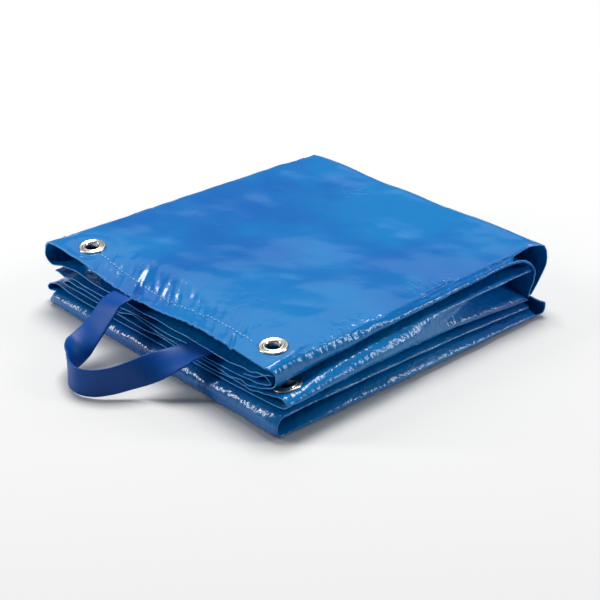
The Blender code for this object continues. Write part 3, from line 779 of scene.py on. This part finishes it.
def turned(profile, turns):
    """A ring from a closed profile of (radius, height), turned about Z: points and quads."""
    profile = np.array(profile, dtype=float)
    angles = np.linspace(0.0, 2 * np.pi, turns, endpoint=False)
    points = np.empty((len(profile), turns, 3))
    points[..., 0] = profile[:, :1] * np.cos(angles)
    points[..., 1] = profile[:, :1] * np.sin(angles)
    points[..., 2] = profile[:, 1:]
    numbers = np.arange(points[..., 0].size).reshape(points.shape[:2])
    down = np.roll(numbers, -1, axis=0)
    corners = (numbers, np.roll(numbers, -1, axis=1), np.roll(down, -1, axis=1), down)
    faces = np.stack([c.ravel() for c in corners], axis=1)
    return points.reshape(-1, 3), faces


def place_on_plane(points, place, slope_x, slope_y):
    """Points turned from the flat onto a sloping plane and moved to its place."""
    normal = Vector((-slope_x, -slope_y, 1.0)).normalized()
    turn = Vector((0, 0, 1)).rotation_difference(normal).to_matrix()
    return points @ np.array(turn).T + np.array(place)


def make_eyelet(name, place, slopes, material):
    """A pressed eyelet: its profile turned about its axis, on the plane of the cloth."""
    ring = smooth_ring(EYELET_PROFILE)
    points, faces = turned(ring, EYELET_TURNS)
    points = place_on_plane(points, place, *slopes)
    mesh = new_mesh(name, points, faces.tolist())
    return new_piece(name + "_ring", mesh, material, "eyelet", name)


def smooth_ring(profile):
    """A closed profile with two more points on every side, on a smooth curve through its corners."""
    corners = np.array(profile, dtype=float)
    before = np.roll(corners, 1, axis=0)
    after = np.roll(corners, -1, axis=0)
    later = np.roll(corners, -2, axis=0)
    t = np.array([0.0, 1 / 3, 2 / 3])[None, :, None]
    slopes = (after - before) * ROUNDING
    next_slopes = (later - corners) * ROUNDING
    ends = (corners, after, slopes, next_slopes)
    return hermite(*(part[:, None] for part in ends), t).reshape(-1, 2)


def strap_section():
    """The strap's cross-section, (across, through): a flat band with round edges."""
    half = STRAP_THICK / 2
    wide = STRAP_WIDTH / 2 - half
    turn = np.linspace(-np.pi / 2, np.pi / 2, EDGE_POINTS)
    right = np.stack([wide + half * np.cos(turn), half * np.sin(turn)], axis=1)
    flat = np.linspace(wide, -wide, FLAT_POINTS + 2)[1:-1]
    top = np.stack([flat, np.full(FLAT_POINTS, half)], axis=1)
    left = -right
    return np.concatenate([right, top, left, -top])


def make_strap(material):
    """The strap's section carried along its route and turned about its middle line by the lean."""
    route = np.array(STRAP_ROUTE, dtype=float)[:, None, :]
    line = smooth_path(route, [STRAP_CELLS] * (len(STRAP_ROUTE) - 1))[:, 0]
    middle = line[:, :3]
    lean = np.radians(line[:, 3:])
    travel = np.gradient(middle, axis=0)
    travel /= np.linalg.norm(travel, axis=1, keepdims=True)
    side = np.cross(travel, (0.0, 0.0, 1.0))
    side /= np.linalg.norm(side, axis=1, keepdims=True)
    up = np.cross(side, travel)
    across = side * np.cos(lean) + up * np.sin(lean)
    through = np.cross(across, travel)
    shape = strap_section()
    rings = middle[:, None] + across[:, None] * shape[None, :, :1] + through[:, None] * shape[None, :, 1:]
    count, size = rings.shape[:2]
    numbers = np.arange(count * size).reshape(count, size)
    here, there = numbers[:-1], numbers[1:]
    corners = (here, np.roll(here, -1, axis=1), np.roll(there, -1, axis=1), there)
    faces = np.stack([c.ravel() for c in corners], axis=1).tolist()
    faces += [numbers[0].tolist(), numbers[-1].tolist()]
    mesh = new_mesh("strap", rings.reshape(-1, 3), faces)
    return new_piece("strap_band", mesh, material, "strap", "carry_strap")


def make_stitches(material):
    """Short round stitches along the seam, lying on the cloth."""
    reach = SEAM[-1][0] - SEAM[0][0]
    count = int(reach / STITCH["pitch"])
    x = SEAM[0][0] + STITCH["pitch"] * (np.arange(count) + 0.5)
    rings, sides = 5, 6
    t = np.linspace(-1, 1, rings)
    angle = np.linspace(0, 2 * np.pi, sides, endpoint=False)
    along_x = x[:, None] + t[None, :] * STITCH["length"] / 2
    y = seam_y(along_x)
    lift, dip = STITCH["lift"] * STITCH["thick"], STITCH["dip"] * STITCH["thick"]
    z = top_height(along_x, y) + HEM / 2 + lift - dip * t[None, :] ** 4
    radius = STITCH["thick"] / 2 * np.sqrt(np.clip(STITCH["blunt"] - t**6, 0, 1))
    points = np.empty((count, rings, sides, 3))
    points[..., 0] = along_x[..., None]
    points[..., 1] = y[..., None] + radius[None, :, None] * np.cos(angle)
    points[..., 2] = z[..., None] + radius[None, :, None] * np.sin(angle)
    numbers = np.arange(count * rings * sides).reshape(count, rings, sides)
    here, there = numbers[:, :-1], numbers[:, 1:]
    corners = (here, np.roll(here, -1, axis=2), np.roll(there, -1, axis=2), there)
    faces = np.stack([c.ravel() for c in corners], axis=1).tolist()
    faces += numbers[:, 0].tolist() + numbers[:, -1].tolist()
    mesh = new_mesh("stitches", points.reshape(-1, 3), faces)
    return new_piece("hem_stitches", mesh, material, "tarp")


# ---------------------------------------------------------------- materials


class Value:
    """A shader socket that takes part in sums and products."""

    def __init__(self, nodes, socket):
        self.nodes = nodes
        self.socket = socket

    def math(self, operation, first, second):
        """One operation on two values or numbers."""
        return self.nodes.add("ShaderNodeMath", {"operation": operation}, {0: first, 1: second})

    def __add__(self, other):
        return self.math("ADD", self, other)

    def __mul__(self, other):
        return self.math("MULTIPLY", self, other)

    __radd__ = __add__
    __rmul__ = __mul__


class Nodes:
    """The nodes of one material, around its Principled BSDF."""

    def __init__(self, material):
        self.tree = material.node_tree
        self.shader = self.tree.nodes["Principled BSDF"]

    def put(self, socket, value):
        """Links a value to a socket, or sets it there when it is a plain number or colour."""
        if isinstance(value, Value):
            self.tree.links.new(value.socket, socket)
        elif isinstance(value, tuple) and len(value) == 3 and socket.type == "RGBA":
            socket.default_value = (*value, 1.0)
        else:
            socket.default_value = value

    def add(self, kind, settings, inputs, output=0):
        """A node of a kind, with its settings made before its sockets are fed. Returns one output."""
        node = self.tree.nodes.new(kind)
        for name, setting in settings.items():
            setattr(node, name, setting)
        for name, value in inputs.items():
            self.put(node.inputs[name], value)
        return Value(self, node.outputs[output])

    def place(self):
        """The place on the object, in metres."""
        return self.add("ShaderNodeTexCoord", {}, {}, output=OBJECT_COORDINATES)

    def noise(self, place, name):
        """Smooth random patches from 0 to 1, of a pattern of the table."""
        scale, detail, distortion = PATTERNS[name]
        inputs = {"Vector": place, "Scale": scale, "Detail": detail, "Distortion": distortion}
        return self.add("ShaderNodeTexNoise", {}, inputs)

    def stretched(self, place, scale):
        """The place multiplied by a scale on each axis."""
        return self.add("ShaderNodeMapping", {"vector_type": "POINT"}, {"Vector": place, "Scale": scale})

    def ramp(self, value, low, high):
        """0 where the value is low, 1 where it is high, smooth between."""
        settings = {"interpolation_type": "SMOOTHSTEP"}
        inputs = {"Value": value, "From Min": low, "From Max": high}
        return self.add("ShaderNodeMapRange", settings, inputs)

    def mix(self, share, first, second):
        """A colour between first and second."""
        inputs = {"Factor": share, FIRST_COLOUR: first, SECOND_COLOUR: second}
        return self.add("ShaderNodeMix", {"data_type": "RGBA"}, inputs, output=MIXED_COLOUR)

    def feed(self, **inputs):
        """Sets or links the shader's own sockets; an underscore stands for a space in a name."""
        for name, value in inputs.items():
            self.put(self.shader.inputs[name.replace("_", " ")], value)


def new_material(name, colour, roughness, **inputs):
    """A material of one colour and roughness, and the nodes that may add to it."""
    material = bpy.data.materials.new(name)
    material.use_nodes = True
    nodes = Nodes(material)
    nodes.feed(Base_Color=colour, Roughness=roughness, **inputs)
    return material, nodes


def laminate_material():
    """Glossy laminate: slow changes of blue, crinkles and grain pressed in by folding, which the top has
    less of, and ribs only where the sheet is wrinkled."""
    material, nodes = new_material("laminate", LAMINATE, roughness=0.2)
    place = nodes.place()
    pale = nodes.ramp(nodes.noise(place, "pale patches"), low=0.35, high=0.65)
    nodes.feed(Base_Color=nodes.mix(pale, LAMINATE, LAMINATE_PALE))
    least, rubbed = LAMINATE_ROUGHNESS
    nodes.feed(Roughness=least + nodes.noise(place, "rubbing") * rubbed)
    settings = {"attribute_name": "wrinkled"}
    wrinkled = nodes.add("ShaderNodeAttribute", settings, {}, output=ATTRIBUTE_FACTOR)
    crinkle = nodes.noise(nodes.stretched(place, CRINKLE_STRETCH), "crinkles")
    height = nodes.ramp(crinkle, low=0.3, high=0.7) + nodes.noise(place, "grain") * GRAIN
    height = height * (CALM + wrinkled * (1.0 - CALM))
    bump = nodes.add("ShaderNodeBump", {}, {"Height": height, "Strength": 0.5, "Distance": CRINKLE * MM})
    ribs = nodes.noise(nodes.stretched(place, RIB_STRETCH), "ribs") * wrinkled
    inputs = {"Height": ribs, "Strength": 0.9, "Distance": RIBS * MM, "Normal": bump}
    bump = nodes.add("ShaderNodeBump", {}, inputs)
    nodes.feed(Normal=bump)
    return material


def webbing_material():
    """Smooth flat webbing: a close fine grain, worn a little dull in patches."""
    material, nodes = new_material("webbing", WEBBING, roughness=0.42, Specular_IOR_Level=0.2)
    place = nodes.place()
    least, worn = WEBBING_ROUGHNESS
    nodes.feed(Roughness=least + nodes.noise(place, "wear") * worn)
    weave = nodes.noise(place, "weave")
    bump = nodes.add("ShaderNodeBump", {}, {"Height": weave, "Strength": 0.25, "Distance": WEAVE * MM})
    nodes.feed(Normal=bump)
    return material


def nickel_material():
    """Nickel plate, handled a little dull in patches."""
    material, nodes = new_material("nickel", NICKEL, roughness=0.2, Metallic=1.0)
    least, handled = NICKEL_ROUGHNESS
    nodes.feed(Roughness=least + nodes.noise(nodes.place(), "polish") * handled)
    return material


# ---------------------------------------------------------------- studio


def make_floor():
    """A plain square of pale floor under the object."""
    mesh = bpy.data.meshes.new("floor")
    corners = [(x * FLOOR_REACH, y * FLOOR_REACH, 0) for x, y in ((-1, -1), (1, -1), (1, 1), (-1, 1))]
    mesh.from_pydata(corners, [], [(0, 1, 2, 3)])
    floor = bpy.data.objects.new("floor", mesh)
    bpy.context.scene.collection.objects.link(floor)
    floor.data.materials.append(new_material("floor", FLOOR_COLOUR, roughness=0.9)[0])
    return floor


def make_light(row):
    """An area light of the table, aimed at the object."""
    lamp = bpy.data.lights.new(row.name, "AREA")
    lamp.shape = "RECTANGLE"
    lamp.size, lamp.size_y = row.size
    lamp.energy = row.power
    lamp.color = row.colour
    light = bpy.data.objects.new(row.name, lamp)
    bpy.context.scene.collection.objects.link(light)
    light.location = row.place
    aim = Vector(row.target) - Vector(row.place)
    light.rotation_euler = aim.to_track_quat("-Z", "Y").to_euler()


def make_studio():
    """A dim world, the table's lights and a plain view of their colours."""
    world = bpy.data.worlds.new("studio")
    bpy.context.scene.world = world
    world.use_nodes = True
    background = world.node_tree.nodes["Background"]
    background.inputs["Color"].default_value = (*WORLD_COLOUR, 1.0)
    background.inputs["Strength"].default_value = WORLD_STRENGTH
    for row in LIGHTS:
        make_light(row)
    bpy.context.scene.view_settings.view_transform = "Standard"


def make_camera():
    """The table's camera, aimed at its target."""
    view = bpy.data.cameras.new("camera")
    view.lens = CAMERA["lens"]
    view.sensor_width = CAMERA["sensor"]
    camera = bpy.data.objects.new("camera", view)
    bpy.context.scene.collection.objects.link(camera)
    camera.location = CAMERA["place"]
    aim = Vector(CAMERA["target"]) - Vector(CAMERA["place"])
    camera.rotation_euler = aim.to_track_quat("-Z", "Y").to_euler()
    bpy.context.scene.camera = camera


# ---------------------------------------------------------------- the whole


def main():
    """Makes every piece, sets up the studio and places the camera."""
    laminate = laminate_material()
    cut_edge_highlight = new_material("cut_edge_highlight", CUT_EDGE_HIGHLIGHT, roughness=0.45)[0]
    nickel = nickel_material()
    thread = new_material("thread", THREAD, roughness=0.7)[0]
    webbing = webbing_material()
    floor = make_floor()
    tarp = make_tarp(laminate, cut_edge_highlight)
    for name, (x, y) in TOP_EYELETS.items():
        height, slope_x, slope_y = eyelet_plane((x, y))
        make_eyelet(name, (x, y, height), (slope_x, slope_y), nickel)
    slopes = (LOWER_PLANE["slope_x"], LOWER_PLANE["slope_y"])
    make_eyelet("eyelet_lower", (*LOWER_EYELET, LOWER_PLANE["z"]), slopes, nickel)
    stitches = make_stitches(thread)
    strap = make_strap(webbing)
    make_studio()
    make_camera()


main()
